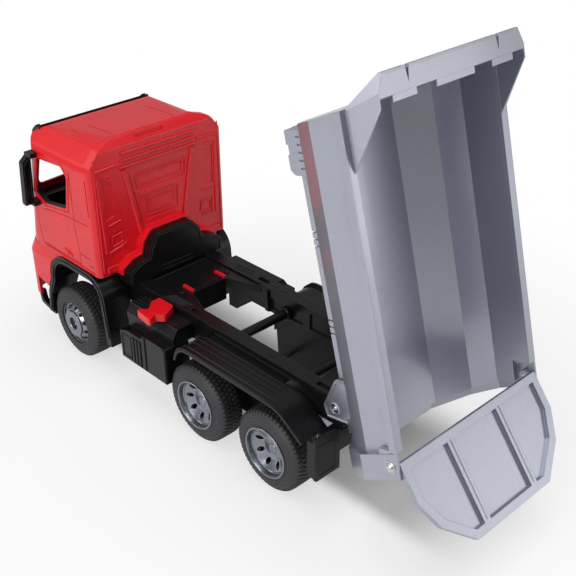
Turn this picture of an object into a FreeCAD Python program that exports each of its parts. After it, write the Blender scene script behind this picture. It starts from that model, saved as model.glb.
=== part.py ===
import FreeCAD, Part
import math
import os

# A plastic toy tipper truck with three axles, built as its moulded pieces fit together.
# Millimetres. X points forward, Y to the left, Z up. X is measured from the first rear axle,
# and every piece is moved by ORIGIN_X as it is written, so that the origin lies on the floor
# under the middle of the truck as it stands, with its bed tipped and its tailgate swung open.

# ---- driving dimensions -----------------------------------------------------------------------
ORIGIN_X = 2.7

TYRE_R = 42.0
TYRE_WIDTH = 30.0
TYRE_OUTER_Y = 89.5
RIM_R = 25.0
AXLE_R = 3.0
FRONT_AXLE_X = 214.3
REAR_AXLE_X = 0.0
LAST_AXLE_X = -102.4

RAIL_IN_Y = 38.0
RAIL_OUT_Y = 53.0
RAIL_LOW_Z = 84.0
RAIL_TOP_Z = 112.0
RAIL_FRONT_X = 284.0

HINGE_X = -158.0
HINGE_Z = 105.0
TIP_DEG = 75.5
TRUNNION_R = 4.0

CAB_BACK_X = 154.0
CAB_FRONT_X = 303.5
CAB_FRONT_BOW = 7.0
CAB_FRONT_LEAN = 0.168
CAB_HALF_WIDTH = 86.5
CAB_LOW_Z = 121.0
ROOF_Z = 264.5
ROOF_FRONT_Z = 258.5
REAR_BAND_Z = 267.5
CAB_WALL = 2.5

BED_HALF_WIDTH = 88.0
BED_WALL = 3.0
BED_FLOOR_V = 18.5
BED_RIM_V = 104.5
BED_FRONT_U = 254.0
BED_FRONT_LEAN = 18.0
BED_REAR_U = -21.0
BED_REAR_LEAN_DEG = 16.0

GATE_PIN_U = -11.5
GATE_PIN_V = 95.5
GATE_PIN_R = 2.5
GATE_FACE = 9.4
GATE_THICK = 5.0
GATE_OPEN_DEG = 96.9

# ---- clearances -------------------------------------------------------------------------------
RUNNING = 0.08
SLIDING = 0.4
SEAT_GAP = 0.3


def vec(x, y, z):
    return FreeCAD.Vector(x, y, z)


def closed_wire(points, to_space):
    """Wire through (a, b) corners; a third number rounds that corner with that radius."""
    count = len(points)
    joints = []
    for i, point in enumerate(points):
        here = vec(point[0], point[1], 0)
        radius = point[2] if len(point) > 2 else 0
        if not radius:
            joints.append((here, here, here))
            continue
        before = vec(*points[i - 1][:2], 0) - here
        after = vec(*points[(i + 1) % count][:2], 0) - here
        before.normalize()
        after.normalize()
        half = before.getAngle(after) / 2
        reach = radius / math.tan(half)
        middle = before + after
        middle.normalize()
        top = here + middle * (radius / math.sin(half) - radius)
        joints.append((here + before * reach, top, here + after * reach))
    edges = []
    for i, (start, top, end) in enumerate(joints):
        if (end - start).Length > 1e-6:
            edges.append(Part.Arc(to_space(start), to_space(top), to_space(end)).toShape())
        following = joints[(i + 1) % count][0]
        if (following - end).Length > 1e-6:
            edges.append(Part.LineSegment(to_space(end), to_space(following)).toShape())
    return Part.Wire(edges)


def side_plate(points, y_low, y_high):
    """Outline in (x, z), thick from y_low to y_high."""
    face = Part.Face(closed_wire(points, lambda p: vec(p.x, y_low, p.y)))
    return face.extrude(vec(0, y_high - y_low, 0))


def front_plate(points, x_low, x_high):
    """Outline in (y, z), thick from x_low to x_high."""
    face = Part.Face(closed_wire(points, lambda p: vec(x_low, p.x, p.y)))
    return face.extrude(vec(x_high - x_low, 0, 0))


def flat_wire(points, z):
    return closed_wire(points, lambda p: vec(p.x, p.y, z))


def flat_plate(points, z_low, z_high):
    """Outline in (x, y), thick from z_low to z_high."""
    face = Part.Face(flat_wire(points, z_low))
    return face.extrude(vec(0, 0, z_high - z_low))


def block(x_low, x_high, y_low, y_high, z_low, z_high):
    return Part.makeBox(x_high - x_low, y_high - y_low, z_high - z_low, vec(x_low, y_low, z_low))


def rod(x, z, radius, y_low, y_high):
    return Part.makeCylinder(radius, y_high - y_low, vec(x, y_low, z), vec(0, 1, 0))


def turned(points, x, z):
    """Outline in (radius, y) turned about the line along Y through (x, z)."""
    face = Part.Face(closed_wire(points, lambda p: vec(p.x, p.y, 0)))
    ring = face.revolve(vec(0, 0, 0), vec(0, 1, 0), 360)
    ring.translate(vec(x, 0, z))
    return ring


def other_side(shape):
    return shape.mirror(vec(0, 0, 0), vec(0, 1, 0))


def both_halves(right_half):
    """Corners with y of at least 0, from one end to the other, made into a whole outline."""
    left = [(-p[0],) + tuple(p[1:]) for p in reversed(right_half) if p[0] > 0]
    return list(right_half) + left


def in_bed(shape):
    """From the lowered bed's own (u, y, v), about its hinge, to the truck's (x, y, z)."""
    placed = shape.copy()
    placed.rotate(vec(0, 0, 0), vec(0, 1, 0), -TIP_DEG)
    placed.translate(vec(HINGE_X, 0, HINGE_Z))
    return placed


def in_gate(shape):
    """From the closed tailgate's place in the bed to its open place in the truck."""
    opened = shape.copy()
    opened.rotate(vec(GATE_PIN_U, 0, GATE_PIN_V), vec(0, 1, 0), GATE_OPEN_DEG)
    return in_bed(opened)


def save(node, *solids):
    placed = []
    for solid in solids:
        moved = solid.copy()
        moved.translate(vec(ORIGIN_X, 0, 0))
        placed.append(moved)
    shape = placed[0] if len(placed) == 1 else Part.makeCompound(placed)
    shape.exportStep("parts/" + node + ".step")


# ---- wheels -----------------------------------------------------------------------------------
TYRE_INNER_Y = TYRE_OUTER_Y - TYRE_WIDTH
TYRE_SHOULDER = 5.0
TYRE_SIDE_DISH = 1.5
BEAD_WIDTH = 3.0
RIM_LIP = 1.5
RIM_WALL = 2.0
RIM_HUB_R = 6.5
DISH_Y = 75.0
DISH_THICK = 2.5
AXLE_END_Y = 78.0
PLATE_IN_Y = 38.0
PLATE_OUT_Y = 50.0
HUB_GAP = 0.6
FRONT_HUB_OUT = 6.0


def tyre(x):
    low = TYRE_INNER_Y
    high = TYRE_OUTER_Y
    bead = RIM_R + BEAD_WIDTH
    shoulder = TYRE_R - TYRE_SHOULDER
    return turned([(RIM_R, low), (bead, low), (shoulder, low + TYRE_SIDE_DISH),
                   (TYRE_R, low + TYRE_SHOULDER, 3), (TYRE_R, high - TYRE_SHOULDER, 3),
                   (shoulder, high - TYRE_SIDE_DISH), (bead, high), (RIM_R, high)], x, TYRE_R)


def rear_rim(x):
    """Deep-dished rim: a barrel with an outer lip, and a disc with a ring of six holes."""
    out = RIM_R - 0.05
    high = TYRE_OUTER_Y
    barrel = turned([(out - RIM_WALL, TYRE_INNER_Y + 1), (out, TYRE_INNER_Y + 1), (out, high),
                     (RIM_R + 1.2, high), (RIM_R + 1.2, high + RIM_LIP, 0.6),
                     (out - RIM_WALL, high + RIM_LIP, 0.6)], x, TYRE_R)
    disc = turned([(0, AXLE_END_Y), (0, DISH_Y + 7), (RIM_HUB_R, DISH_Y + 7, 1), (12, DISH_Y + 2.5),
                   (out - RIM_WALL / 2, DISH_Y), (out - RIM_WALL / 2, DISH_Y - DISH_THICK),
                   (RIM_HUB_R, DISH_Y - DISH_THICK), (RIM_HUB_R, PLATE_OUT_Y + HUB_GAP),
                   (AXLE_R + 0.03, PLATE_OUT_Y + HUB_GAP), (AXLE_R + 0.03, AXLE_END_Y)], x, TYRE_R)
    wheel = barrel.fuse(disc)
    hole_count = 6
    for i in range(hole_count):
        angle = 2 * math.pi * (i + 0.25) / hole_count
        hole = rod(x + 16.2 * math.cos(angle), TYRE_R + 16.2 * math.sin(angle), 2.9,
                   DISH_Y - 9, DISH_Y + 9)
        wheel = wheel.cut(hole)
    return wheel


def front_rim(x):
    """Rim whose disc bulges outwards to a hub with a sunk centre, with a ring of eleven slots."""
    out = RIM_R - 0.05
    high = TYRE_OUTER_Y
    face = high - 4
    barrel = turned([(out - RIM_WALL, TYRE_INNER_Y + 1), (out, TYRE_INNER_Y + 1), (out, high),
                     (RIM_R + 1.2, high), (RIM_R + 1.2, high + RIM_LIP, 0.6),
                     (out - RIM_WALL, high + RIM_LIP, 0.6)], x, TYRE_R)
    hub_top = face + FRONT_HUB_OUT
    disc = turned([(0, AXLE_END_Y), (0, hub_top - 3), (7, hub_top - 3), (7, hub_top),
                   (11, hub_top, 1), (14, face + 1.5), (out - RIM_WALL / 2, face - 1),
                   (out - RIM_WALL / 2, face - 1 - DISH_THICK), (RIM_HUB_R, face - DISH_THICK),
                   (RIM_HUB_R, PLATE_OUT_Y + HUB_GAP), (AXLE_R + 0.03, PLATE_OUT_Y + HUB_GAP),
                   (AXLE_R + 0.03, AXLE_END_Y)], x, TYRE_R)
    wheel = barrel.fuse(disc)
    slot_count = 11
    for i in range(slot_count):
        angle = 2 * math.pi * (i + 0.5) / slot_count
        slot = rod(x + 19.2 * math.cos(angle), TYRE_R + 19.2 * math.sin(angle), 2.1,
                   face - 9, face + 9)
        wheel = wheel.cut(slot)
    return wheel


AXLES = [("front", FRONT_AXLE_X, front_rim), ("middle", REAR_AXLE_X, rear_rim),
         ("last", LAST_AXLE_X, rear_rim)]


def make_wheels():
    for name, x, make_rim in AXLES:
        rim = make_rim(x)
        left_tyre = tyre(x)
        save("tyre_" + name + "_left", left_tyre)
        save("tyre_" + name + "_right", other_side(left_tyre))
        save("rims_" + name, rim, other_side(rim))
        save("axle_" + name, rod(x, TYRE_R, AXLE_R, -AXLE_END_Y, AXLE_END_Y))


# ---- chassis ----------------------------------------------------------------------------------
HINGE_END_R = RAIL_TOP_Z - HINGE_Z
BRACKET_THICK = 3.2
TRUNNION_OUT_Y = RAIL_OUT_Y + SLIDING + BRACKET_THICK - 1.0
DECK_TOP_Z = 110.0
DECK_LOW_Z = 102.0
DECK_REAR_X = 80.0
GUSSET_END_X = 40.0
DECK_REAR_HALF_Y = 22.5
AXLE_PLATE_LOW_Z = 30.0
AXLE_PLATE_MARGIN = 15.0
CROSS_TUBE_R = 5.0
CROSS_TUBE_Z = 93.0
CROSS_TUBE_XS = (2.0, -97.0)
TAIL_BEAM_REAR_X = HINGE_X - HINGE_END_R + 0.5


def rail():
    rear = HINGE_X - HINGE_END_R
    bar = side_plate([(rear, RAIL_LOW_Z, 3), (rear, RAIL_TOP_Z, HINGE_END_R - 0.01),
                      (RAIL_FRONT_X, RAIL_TOP_Z, 2), (RAIL_FRONT_X, RAIL_LOW_Z, 2)],
                     RAIL_IN_Y, RAIL_OUT_Y)
    return bar.fuse(rod(HINGE_X, HINGE_Z, TRUNNION_R, RAIL_OUT_Y - 1, TRUNNION_OUT_Y))


def axle_plate(x_low, x_high, axle_xs):
    """Side plate hung under a rail, bored for the axles that turn in it."""
    plate = side_plate([(x_low, AXLE_PLATE_LOW_Z, 8), (x_low - 4, RAIL_LOW_Z),
                        (x_high + 4, RAIL_LOW_Z), (x_high, AXLE_PLATE_LOW_Z, 8)],
                       PLATE_IN_Y, PLATE_OUT_Y)
    for x in axle_xs:
        plate = plate.cut(rod(x, TYRE_R, AXLE_R + RUNNING, PLATE_IN_Y - 1, PLATE_OUT_Y + 1))
    return plate


def make_chassis():
    left = rail()
    save("rail_left", left)
    save("rail_right", other_side(left))
    deck_outline = [(RAIL_FRONT_X, -RAIL_IN_Y), (RAIL_FRONT_X, RAIL_IN_Y),
                    (GUSSET_END_X, RAIL_IN_Y), (DECK_REAR_X, DECK_REAR_HALF_Y),
                    (DECK_REAR_X, -DECK_REAR_HALF_Y), (GUSSET_END_X, -RAIL_IN_Y)]
    deck = flat_plate(deck_outline, DECK_LOW_Z, DECK_TOP_Z)
    deck = deck.fuse(block(DECK_REAR_X, DECK_REAR_X + 4, -DECK_REAR_HALF_Y, DECK_REAR_HALF_Y,
                           RAIL_LOW_Z, DECK_LOW_Z))
    save("frame_deck", deck)
    save("cross_tubes", *[rod(x, CROSS_TUBE_Z, CROSS_TUBE_R, -RAIL_IN_Y, RAIL_IN_Y)
                          for x in CROSS_TUBE_XS])
    rear_plate = axle_plate(LAST_AXLE_X - AXLE_PLATE_MARGIN, REAR_AXLE_X + AXLE_PLATE_MARGIN,
                            (LAST_AXLE_X, REAR_AXLE_X))
    front_plate_pair = axle_plate(FRONT_AXLE_X - AXLE_PLATE_MARGIN,
                                  FRONT_AXLE_X + AXLE_PLATE_MARGIN, (FRONT_AXLE_X,))
    save("bogie_plates", rear_plate, other_side(rear_plate))
    save("front_axle_plates", front_plate_pair, other_side(front_plate_pair))
    save("tail_beam", block(TAIL_BEAM_REAR_X, TAIL_BEAM_REAR_X + 12, -72, 72, 62, RAIL_LOW_Z))


# ---- black pieces along the chassis -----------------------------------------------------------
SIDE_OUT_Y = 89.7
BOX_X = (TYRE_R + 1.0, 83.0)
STEP_X = (84.0, 121.0)
BOX_IN_Y = 60.0
BOX_LOW_Z = 43.5
BOX_TOP_Z = 85.5
SIDE_DECK_TOP_Z = 103.0
LEVER_THICK = 8.0
FENDER_TOP_Z = 103.0
FENDER_THICK = 2.5
FENDER_IN_Y = 58.5
FENDER_OUT_Y = 91.8
FLAP_THICK = 2.5
HUMP_REAR_X = 133.0
HOOD_REAR_X = 144.0
HOOD_WALL = 2.0


def storage_box():
    return side_plate([(BOX_X[0], BOX_LOW_Z, 2), (BOX_X[0], BOX_TOP_Z, 2), (BOX_X[1], BOX_TOP_Z, 2),
                       (BOX_X[1], BOX_LOW_Z, 2)], BOX_IN_Y, SIDE_OUT_Y)


def side_step():
    inner = block(STEP_X[0], STEP_X[1], BOX_IN_Y, 78, BOX_LOW_Z, BOX_TOP_Z)
    outer = side_plate([(STEP_X[0], BOX_LOW_Z), (STEP_X[0], 80), (108, 80), (STEP_X[1], 76),
                        (STEP_X[1], BOX_LOW_Z)], 77, SIDE_OUT_Y)
    return inner.fuse(outer)


def side_deck():
    return front_plate([(RAIL_OUT_Y, BOX_TOP_Z), (RAIL_OUT_Y, SIDE_DECK_TOP_Z),
                        (73, SIDE_DECK_TOP_Z, 2), (79, 94, 2), (79, BOX_TOP_Z)],
                       BOX_X[0], STEP_X[1])


def lever():
    return flat_plate([(94, 86, 2), (66, 89, 2), (71, 79, 3), (63, 72, 2), (72, 54.5, 2),
                       (95, 54.5, 2), (94, 66, 2), (84, 77, 3)],
                      SIDE_DECK_TOP_Z, SIDE_DECK_TOP_Z + LEVER_THICK)


def rear_fender():
    """Mudguard over both rear wheels, with a ledge that joins it to the rail."""
    top = FENDER_TOP_Z
    low = top - FENDER_THICK
    front = REAR_AXLE_X + TYRE_R - 15
    skin = side_plate([(front, 84), (front - 7, top, 20), (-121, top, 40), (-152.3, 82),
                       (-150.6, 80), (-121, low, 38), (front - 7, low, 18), (front - 2.5, 84)],
                      FENDER_IN_Y, FENDER_OUT_Y)
    ledge = block(-95, 10, RAIL_OUT_Y, FENDER_IN_Y + 1, low, top)
    return skin.fuse(ledge)


def mudflap():
    front = TAIL_BEAM_REAR_X
    sheet = front_plate([(FENDER_IN_Y, 46), (FENDER_IN_Y, 90, 2), (SIDE_OUT_Y, 93, 2),
                         (SIDE_OUT_Y, 46, 3)], front - FLAP_THICK, front)
    lip = block(front - 1, front + 7, SIDE_OUT_Y - FLAP_THICK, SIDE_OUT_Y, 49, 88)
    return sheet.fuse(lip)


def hump_outline(grow):
    """Outline in (y, z) of the engine cover that stands on the rails, grown all round."""
    g = grow
    return both_halves([(62 + g, RAIL_TOP_Z), (62 + g, 126 + g, 2), (49 + g, 134 + g, 3),
                        (36 + g, 136 + g, 2), (33 + g, 148 + g, 4 + g), (23 + g, 160 + g, 5 + g)])


def engine_hump():
    return front_plate(hump_outline(0), HUMP_REAR_X, CAB_BACK_X)


def catches():
    return block(DECK_REAR_X, 96, 20, 23, DECK_TOP_Z, RAIL_TOP_Z + 1)


def make_side_pieces():
    for name, piece in (("storage_box", storage_box()), ("side_step", side_step()),
                        ("side_deck", side_deck()), ("rear_fender", rear_fender())):
        save(name + "_left", piece)
        save(name + "_right", other_side(piece))
    flap = mudflap()
    save("mudflaps", flap, other_side(flap))
    save("release_lever", lever())
    save("engine_hump", engine_hump())
    catch = catches()
    save("bed_catches", catch, other_side(catch))


# ---- front mudguards and steps ----------------------------------------------------------------
GUARD_IN_Y = 56.0
GUARD_OUT_Y = 88.5
GUARD_THICK = 8.0
GUARD_FRONT_R = 35.0
GUARD_REAR_R = 28.0
GUARD_FRONT_X = FRONT_AXLE_X + TYRE_R - 2.3
GUARD_FOOT_REAR_X = GUARD_FRONT_X + 7.0
GUARD_REAR_X = 148.0
GUARD_FOOT_Z = 36.0


def guard_outer_path():
    return [(GUARD_FOOT_REAR_X + 7, GUARD_FOOT_Z), (GUARD_FRONT_X + 10, 64), (GUARD_FRONT_X, 86, 12),
            (GUARD_FRONT_X, CAB_LOW_Z, GUARD_FRONT_R - 2), (GUARD_REAR_X, CAB_LOW_Z, GUARD_REAR_R),
            (GUARD_REAR_X, 92), (143, 42)]


def guard_inner_path():
    t = GUARD_THICK
    return [(151, 42), (GUARD_REAR_X + t, 92), (GUARD_REAR_X + t, CAB_LOW_Z - t, GUARD_REAR_R - t),
            (GUARD_FRONT_X - t, CAB_LOW_Z - t, GUARD_FRONT_R - 2 - t),
            (GUARD_FRONT_X - t, 84), (GUARD_FRONT_X + 3, 62), (GUARD_FOOT_REAR_X, GUARD_FOOT_Z)]


def front_guard():
    band = side_plate(guard_outer_path() + guard_inner_path(), GUARD_IN_Y, GUARD_OUT_Y)
    cheek = side_plate([(GUARD_FRONT_X, RAIL_LOW_Z + 4), (GUARD_FRONT_X, CAB_LOW_Z, GUARD_FRONT_R),
                        (GUARD_REAR_X, CAB_LOW_Z, GUARD_REAR_R), (GUARD_REAR_X, RAIL_LOW_Z + 4)],
                       RAIL_OUT_Y, GUARD_IN_Y)
    return band.fuse(cheek)


def front_step():
    """Loop that joins the foot of the mudguard to the corner of the bumper."""
    foot = GUARD_FOOT_REAR_X
    return side_plate([(288, 52), (293, 52), (290, 37, 5), (foot + 6, 32, 2), (foot, 32),
                       (foot, GUARD_FOOT_Z), (foot + 7, GUARD_FOOT_Z), (285.5, 41, 3)],
                      CAB_HALF_WIDTH - 7.5, CAB_HALF_WIDTH - 1)


# ---- cab --------------------------------------------------------------------------------------
WINDOW = [(253, 229, 4), (206, 233, 5), (197, 223, 4), (205, 185.5, 4), (245.6, 179, 5),
          (263.5, 188.6, 3)]
WINDSCREEN = [(72, 184, 8), (66, 234, 8)]
CAB_CORNER_R = 24.0
CAB_REAR_R = 6.0
REAR_BAND_X = 166.0
BAND_SHOULDER = [(71, 261, 12), (50, REAR_BAND_Z, 14)]
ROOF_SHOULDER = [(66.5, 258.8, 12), (48, ROOF_Z, 14)]
BROW_R = 42.0
BOW_R = 350.0
BUMPER_OUT = 2.5
BUMPER_FORWARD = 6.5
BUMPER_LOW_Z = 52.0
BUMPER_SHELF_Z = 107.0
BUMPER_CORNER_R = 21.0
BUMPER_WALL = 3.5
SHEET_OUT = 1.5
VISOR_REAR_X = 264.0
VISOR_HALF = 72.0
VISOR_THICK = 2.5
VISOR_END = 5.0
VISOR_END_THICK = 4.5
MIRROR_IN_Y = CAB_HALF_WIDTH + 4.5
MIRROR_OUT_Y = CAB_HALF_WIDTH + 15.0


def cab_front_x(z):
    """Where the middle of the leaning front is, at height z."""
    return CAB_FRONT_X - CAB_FRONT_LEAN * (z - CAB_LOW_Z)


def front_outline(rear_x, half, front_x, bow, corner_r):
    """Plan outline with a square rear, rounded front corners and a bowed front."""
    return [(rear_x, half), (front_x - bow, half, corner_r), (front_x, 0, BOW_R),
            (front_x - bow, -half, corner_r), (rear_x, -half)]


def cab_block(inset, low, roof_z=ROOF_Z, shoulder=ROOF_SHOULDER):
    """The cab's outer form made smaller all round by inset, from height low upwards."""
    half = CAB_HALF_WIDTH - inset
    back = CAB_BACK_X + inset
    high = REAR_BAND_Z + 30
    front_low = cab_front_x(low) - inset
    side = side_plate([(back, low), (back, roof_z - 9.5 - inset, 4), (back + 7, roof_z - inset, 5),
                       (cab_front_x(ROOF_FRONT_Z) - inset, ROOF_FRONT_Z - inset, BROW_R - inset),
                       (front_low, low)], -100, 100)
    outline = front_outline(100, half, front_low, CAB_FRONT_BOW, CAB_CORNER_R - inset)
    leaning = Part.Face(flat_wire(outline, low)).extrude(
        vec(cab_front_x(high) - cab_front_x(low), 0, high - low))
    rear_r = CAB_REAR_R - min(inset, CAB_REAR_R - 2)
    rear = flat_plate([(back, half, rear_r), (400, half), (400, -half), (back, -half, rear_r)],
                      low, high)
    ends = [(half, low), (half, 241 - inset, 14)] + [(y, z - inset, r) for y, z, r in shoulder]
    return side.common(leaning).common(rear).common(front_plate(both_halves(ends), 90, 400))


def cab_shell():
    band = cab_block(0, CAB_LOW_Z, REAR_BAND_Z, BAND_SHOULDER)
    band = band.common(block(100, REAR_BAND_X, -100, 100, CAB_LOW_Z, REAR_BAND_Z))
    shell = cab_block(0, CAB_LOW_Z).fuse(band).cut(cab_block(CAB_WALL, CAB_LOW_Z - 10))
    hood = front_plate(hump_outline(HOOD_WALL + SEAT_GAP), HOOD_REAR_X, CAB_BACK_X + 1)
    hood = hood.common(block(100, 200, -100, 100, CAB_LOW_Z, ROOF_Z))
    shell = shell.fuse(hood)
    shell = shell.cut(front_plate(hump_outline(SEAT_GAP), HUMP_REAR_X, CAB_BACK_X + SEAT_GAP))
    shell = shell.cut(side_plate(WINDOW, -100, 100))
    return shell.cut(front_plate(both_halves(WINDSCREEN), 255, 320))


def bumper_outline(z, out, inset):
    """Plan wire at height z of the bumper, which stands out from the foot of the cab."""
    half = CAB_HALF_WIDTH + out * BUMPER_OUT - inset
    front = CAB_FRONT_X + out * BUMPER_FORWARD - inset
    return flat_wire(front_outline(200, half, front, CAB_FRONT_BOW, BUMPER_CORNER_R - inset), z)


def bumper_block(inset):
    upright = Part.Face(bumper_outline(BUMPER_LOW_Z, 1, inset)).extrude(
        vec(0, 0, BUMPER_SHELF_Z - BUMPER_LOW_Z))
    shelf = Part.makeLoft([bumper_outline(BUMPER_SHELF_Z, 1, inset),
                           bumper_outline(CAB_LOW_Z, 0, inset)], True, True)
    return upright.fuse(shelf).removeSplitter()


def bumper():
    ring = bumper_block(0).cut(bumper_block(BUMPER_WALL))
    keep = side_plate([(222, CAB_LOW_Z), (330, CAB_LOW_Z), (330, BUMPER_LOW_Z),
                       (283, BUMPER_LOW_Z), (283, 76), (256, 70), (222, 70)], -100, 100)
    arch = side_plate(guard_outer_path(), -100, 100)
    return ring.common(keep).cut(arch)


def grille():
    raised = cab_block(-SHEET_OUT, CAB_LOW_Z)
    window = front_plate(both_halves([(50, 127, 4), (46, 172, 4)]), 280, 330)
    return raised.common(window).cut(cab_block(0, CAB_LOW_Z))


def headlight():
    raised = bumper_block(-SHEET_OUT)
    window = front_plate([(44, 84, 3), (48, 102, 3), (78, 104, 3), (80, 92, 3)], 270, 330)
    return raised.common(window).cut(bumper_block(0))


def sun_visor():
    """Black band round the brow of the cab, over the windscreen, thicker at each end."""
    low = WINDSCREEN[-1][1] + 1
    reach = block(VISOR_REAR_X, 330, -VISOR_HALF, VISOR_HALF, low, ROOF_Z + 5)
    end = block(VISOR_REAR_X + 6, 330, VISOR_HALF - VISOR_END, VISOR_HALF, low, ROOF_Z + 5)
    thick = cab_block(-VISOR_END_THICK, CAB_LOW_Z).common(end.fuse(other_side(end)))
    band = cab_block(-VISOR_THICK, CAB_LOW_Z).common(reach).fuse(thick)
    return band.cut(cab_block(0, CAB_LOW_Z))


def mirror():
    """Mirror that leans as the front of the cab does, on two arms."""
    head = side_plate([(255.5, 236, 2), (262.5, 236, 3), (269.5, 176, 3), (262.5, 173, 2)],
                      MIRROR_IN_Y, MIRROR_OUT_Y)
    head = head.common(front_plate([(MIRROR_IN_Y, 173), (MIRROR_IN_Y, 236, 2),
                                    (MIRROR_OUT_Y, 226, 3), (MIRROR_OUT_Y, 173, 3)], 240, 280))
    root = CAB_HALF_WIDTH - 6.5
    arms = [block(250, 262, root, MIRROR_IN_Y + 4, 231, 236),
            block(256, 268, root, MIRROR_IN_Y + 4, 174, 179)]
    return head.fuse(arms).cut(cab_block(0, CAB_LOW_Z))


def cab_interior():
    """Black tub: a floor on two feet, linings up to the window sills, and the dashboard."""
    gap = CAB_WALL + SEAT_GAP
    body = cab_block(gap, CAB_LOW_Z).common(block(100, 330, -100, 100, CAB_LOW_Z, 176))
    hollow = cab_block(gap + 2.5, CAB_LOW_Z).common(block(100, 268, -100, 100, CAB_LOW_Z + 3, 200))
    tub = body.cut(hollow)
    for side in (1, -1):
        foot = block(165, 275, min(side * RAIL_IN_Y, side * RAIL_OUT_Y),
                     max(side * RAIL_IN_Y, side * RAIL_OUT_Y), RAIL_TOP_Z, CAB_LOW_Z + 1)
        tub = tub.fuse(foot)
    return tub


def seat():
    return side_plate([(178, 124), (176, 205, 5), (187, 206, 5), (191, 158, 4), (228, 160, 5),
                       (228, 124)], 14, 62)


def make_cab():
    guard = front_guard()
    step = front_step()
    save("front_guard_left", guard)
    save("front_guard_right", other_side(guard))
    save("front_steps", step, other_side(step))
    save("cab_shell", cab_shell())
    save("bumper", bumper())
    save("grille", grille())
    save("headlights", headlight(), other_side(headlight()))
    save("sun_visor", sun_visor())
    one_mirror = mirror()
    save("mirror_left", one_mirror)
    save("mirror_right", other_side(one_mirror))
    save("cab_interior", cab_interior())
    save("seats", seat(), other_side(seat()))


# ---- bed, in its own lowered frame about the hinge --------------------------------------------
BED_SECTION = [(49, BED_FLOOR_V), (77.5, 42), (BED_HALF_WIDTH, 66)]
RIM_THICK = 3.0
RIM_OUT_Y = 93.0
RIM_LIP_V = 97.0
COLLAR_SECTION = [(51, 11), (81, 37), (RIM_OUT_Y, 63)]
COLLAR_LENGTH = 24.0
COLLAR_WALL = 2.0
RIM_END_U = 2.5
NOTCH_LOW_V = 86.0
BEAM_Y = (RAIL_IN_Y + 2.0, RAIL_OUT_Y - 1.0)
BEAM_LOW_V = 7.7
CANOPY_TOP_V = 134.0
CANOPY_WALL = 2.5
CANOPY_FRONT_U = 294.0
CANOPY_STRIP_U = 277.0
CHEEK_REAR_U = 226.0
CHEEK_FOLD_U = 270.0
EAR_IN_Y = 86.0
EAR_R = 5.0
GATE_TOP = 0.9
GATE_BORDER = 7.5
GATE_RECESS = 3.2
GATE_RIB_Y = 32.6
GATE_RIB_WIDTH = 8.0


def front_u(v):
    """Where the outside of the sloping front wall is, at height v."""
    return BED_FRONT_U + BED_FRONT_LEAN * (v - BED_FLOOR_V) / (BED_RIM_V - BED_FLOOR_V)


def rear_u(v):
    """Where the sloping rear end is, at height v."""
    return BED_REAR_U + math.tan(math.radians(BED_REAR_LEAN_DEG)) * (v - BED_RIM_V)


def inset_section(points, wall, top_v):
    """The half section moved inwards by wall, with its top at top_v."""
    lines = []
    chain = [(0, points[0][1])] + points + [(points[-1][0], top_v)]
    for (y1, v1), (y2, v2) in zip(chain, chain[1:]):
        length = math.hypot(y2 - y1, v2 - v1)
        normal = (-(v2 - v1) / length, (y2 - y1) / length)
        lines.append((normal, normal[0] * y1 + normal[1] * v1 + wall))
    moved = []
    for (n1, d1), (n2, d2) in zip(lines, lines[1:]):
        det = n1[0] * n2[1] - n1[1] * n2[0]
        moved.append(((d1 * n2[1] - d2 * n1[1]) / det, (n1[0] * d2 - n2[0] * d1) / det))
    return moved + [(moved[-1][0], top_v)]


def bed_prism(half_section, u_low, u_high):
    return front_plate(both_halves(half_section), u_low, u_high)


def between_ends(rear_shift, front_shift):
    """Slab between planes parallel to the sloping rear end and the sloping front wall."""
    low, high = -60, 200
    return side_plate([(rear_u(low) + rear_shift, low), (front_u(low) + front_shift, low),
                       (front_u(high) + front_shift, high), (rear_u(high) + rear_shift, high)],
                      -120, 120)


def bed_outside(top_v):
    return bed_prism(BED_SECTION + [(BED_HALF_WIDTH, top_v)], -80, 330)


def to_shell_end():
    """Along u, from the collar's rear end to the shell's, which the closed tailgate lies on."""
    lean = math.radians(BED_REAR_LEAN_DEG)
    from_pin = (GATE_FACE - GATE_THICK - SLIDING) / math.cos(lean)
    return GATE_PIN_U - rear_u(GATE_PIN_V) - from_pin


def end_notch():
    """Room between the collar's cheeks for the top of the tailgate as it swings."""
    half = RIM_OUT_Y - COLLAR_WALL
    return block(-80, RIM_END_U, -half, half, NOTCH_LOW_V, BED_RIM_V + 20)


def bed_shell():
    wall_top = BED_RIM_V - RIM_THICK
    inside = bed_prism(inset_section(BED_SECTION, BED_WALL, wall_top + 20), -90, 340)
    body = bed_outside(wall_top).cut(inside).common(between_ends(to_shell_end(), -BED_WALL))
    return body.cut(end_notch())


def headboard():
    return bed_outside(BED_RIM_V - RIM_THICK).common(
        between_ends(0, 0).cut(between_ends(-10, -BED_WALL)))


def rim():
    top = BED_RIM_V
    inner = BED_HALF_WIDTH - BED_WALL
    bar = front_plate([(inner, top - RIM_THICK), (inner, top), (RIM_OUT_Y, top),
                       (RIM_OUT_Y, RIM_LIP_V), (RIM_OUT_Y - 2, RIM_LIP_V),
                       (RIM_OUT_Y - 2, top - RIM_THICK)], RIM_END_U, 330)
    return bar.common(between_ends(0, 0))


def gate_pin_hole():
    return rod(GATE_PIN_U, GATE_PIN_V, GATE_PIN_R + 0.03, -120, 120)


def collar_cheeks():
    """Upper corners of the collar, which close the ends of the rims."""
    cheek = block(-80, RIM_END_U, RIM_OUT_Y - COLLAR_WALL, RIM_OUT_Y, RIM_LIP_V, BED_RIM_V)
    return cheek.fuse(other_side(cheek))


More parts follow.
